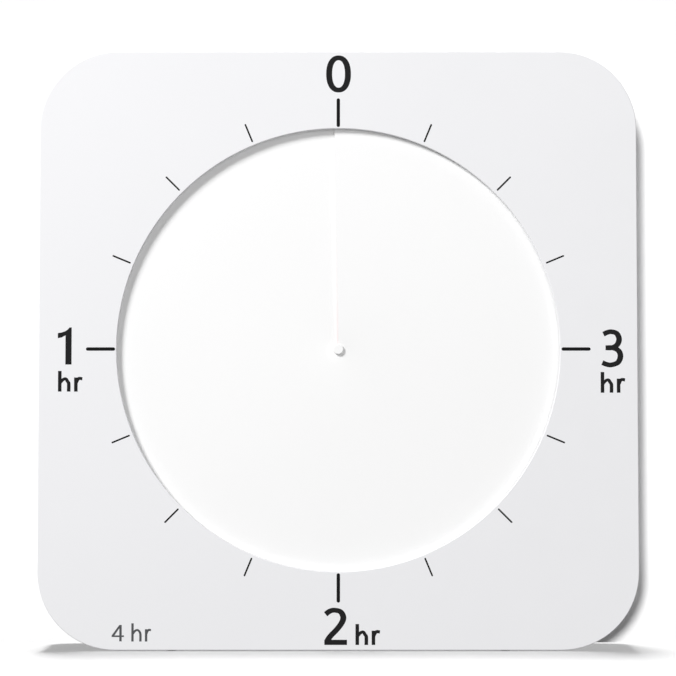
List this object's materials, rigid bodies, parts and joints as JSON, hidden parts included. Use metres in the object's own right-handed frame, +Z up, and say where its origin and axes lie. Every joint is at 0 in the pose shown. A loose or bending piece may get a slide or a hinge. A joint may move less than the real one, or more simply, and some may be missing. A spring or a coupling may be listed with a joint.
{
  "type": "visual countdown timer",
  "caption": "Large square dial timer whose coloured sector disc turns out of a slit white face; lift-off dial plate, battery drive, swing-out feet.",
  "frame": {"origin": "centre of the bounding box at its lowest level, under the middle of the upright timer", "axes": "+X to the right as seen from the front, the dial faces -Y, +Z up"},
  "size_m": [0.432, 0.048, 0.4326],
  "materials": {
    "dial_plate": "satin white moulded plate",
    "dial_magnets": "plated magnet",
    "strike_discs": "bare steel",
    "front_shell": "fine-grained white plastic",
    "rear_shell": "fine-grained white plastic",
    "face_ring": "white plastic",
    "face_sheet": "white sheet",
    "time_disc": "red sheet",
    "disc_hub": "white plastic",
    "hub_cap": "white plastic",
    "spindle": "turned steel",
    "main_gear": "natural moulded gear plastic",
    "drive_pinion": "cut brass",
    "motor_shaft": "turned steel",
    "front_bushing": "sintered bronze",
    "rear_bushing": "sintered bronze",
    "drive_chassis": "pressed steel plate",
    "geared_motor": "plated steel can",
    "set_knob": "dark grey moulded knob",
    "main_board": "green circuit board",
    "board_components": "black components",
    "selector_switch": "black switch body",
    "selector_knob": "dark grey moulded knob",
    "volume_switch": "black switch body",
    "volume_slider": "dark grey moulded slider",
    "start_switch": "black switch body",
    "start_button": "dark grey moulded button",
    "speaker": "black speaker frame",
    "battery_cells": "plain sleeved cells",
    "battery_contacts": "nickel-plated strip",
    "battery_springs": "nickel-plated spring wire",
    "battery_door": "fine-grained white plastic",
    "left_foot": "fine-grained white plastic",
    "right_foot": "fine-grained white plastic",
    "foot_pins": "turned steel",
    "floor_pads": "soft grey rubber",
    "wall_pads": "soft grey rubber",
    "case_screws": "zinc-plated screws",
    "ring_screws": "zinc-plated screws",
    "chassis_screws": "zinc-plated screws",
    "motor_screws": "zinc-plated screws",
    "board_screws": "zinc-plated screws"
  },
  "bodies": {
    "housing": {"strike_discs": "strike_discs", "front_shell": "front_shell", "rear_shell": "rear_shell", "face_ring": "face_ring", "face_sheet": "face_sheet", "front_bushing": "front_bushing", "rear_bushing": "rear_bushing", "drive_chassis": "drive_chassis", "geared_motor": "geared_motor", "main_board": "main_board", "board_components": "board_components", "selector_switch": "selector_switch", "volume_switch": "volume_switch", "start_switch": "start_switch", "speaker": "speaker", "battery_cells": "battery_cells", "battery_contacts": "battery_contacts", "battery_springs": "battery_springs", "foot_pins": "foot_pins", "floor_pads": "floor_pads", "wall_pads": "wall_pads", "case_screws": "case_screws", "ring_screws": "ring_screws", "chassis_screws": "chassis_screws", "motor_screws": "motor_screws", "board_screws": "board_screws"},
    "dial": {"dial_plate": "dial_plate", "dial_magnets": "dial_magnets"},
    "drive_shaft": {"spindle": "spindle", "main_gear": "main_gear", "set_knob": "set_knob"},
    "sector": {"time_disc": "time_disc", "disc_hub": "disc_hub", "hub_cap": "hub_cap"},
    "pinion": {"drive_pinion": "drive_pinion", "motor_shaft": "motor_shaft"},
    "selector": {"selector_knob": "selector_knob"},
    "volume": {"volume_slider": "volume_slider"},
    "start": {"start_button": "start_button"},
    "door": {"battery_door": "battery_door"},
    "foot_left": {"left_foot": "left_foot"},
    "foot_right": {"right_foot": "right_foot"}
  },
  "joints": [
    {"name": "sector_turn", "type": "hinge", "parent": "housing", "child": "drive_shaft", "pos_m": [0, -0.004, 0.2166], "axis": [0, -1, 0], "range_deg": [0, 360]},
    {"name": "sector_advance", "type": "slide", "parent": "drive_shaft", "child": "sector", "axis": [0, -1, 0], "range_m": [0, 0.00151]},
    {"name": "pinion_turn", "type": "hinge", "parent": "housing", "child": "pinion", "pos_m": [0, -0.004, 0.1806], "axis": [0, -1, 0], "range_deg": [-1800, 0]},
    {"name": "dial_off", "type": "slide", "parent": "housing", "child": "dial", "axis": [0, -1, 0], "range_m": [0, 0.06]},
    {"name": "battery_door_off", "type": "slide", "parent": "housing", "child": "door", "axis": [0, 1, 0], "range_m": [0, 0.04]},
    {"name": "start_press", "type": "slide", "parent": "housing", "child": "start", "axis": [0, -1, 0], "range_m": [0, 0.0015], "stiffness_N_per_m": 1200, "springref_m": -0.0004},
    {"name": "selector_turn", "type": "hinge", "parent": "housing", "child": "selector", "pos_m": [-0.045, 0.018, 0.3116], "axis": [0, -1, 0], "range_deg": [0, 150]},
    {"name": "volume_slide", "type": "slide", "parent": "housing", "child": "volume", "axis": [1, 0, 0], "range_m": [0, 0.008]},
    {"name": "left_foot_swing", "type": "hinge", "parent": "housing", "child": "foot_left", "pos_m": [-0.16, 0.014, 0.0046], "axis": [0, 0, 1], "range_deg": [0, 90]},
    {"name": "right_foot_swing", "type": "hinge", "parent": "housing", "child": "foot_right", "pos_m": [0.16, 0.014, 0.0046], "axis": [0, 0, -1], "range_deg": [0, 90]}
  ],
  "couplings": [
    {"joint": "sector_advance", "follows": "sector_turn", "m_per_rad": 0.00023873},
    {"joint": "pinion_turn", "follows": "sector_turn", "ratio": -5}
  ]
}
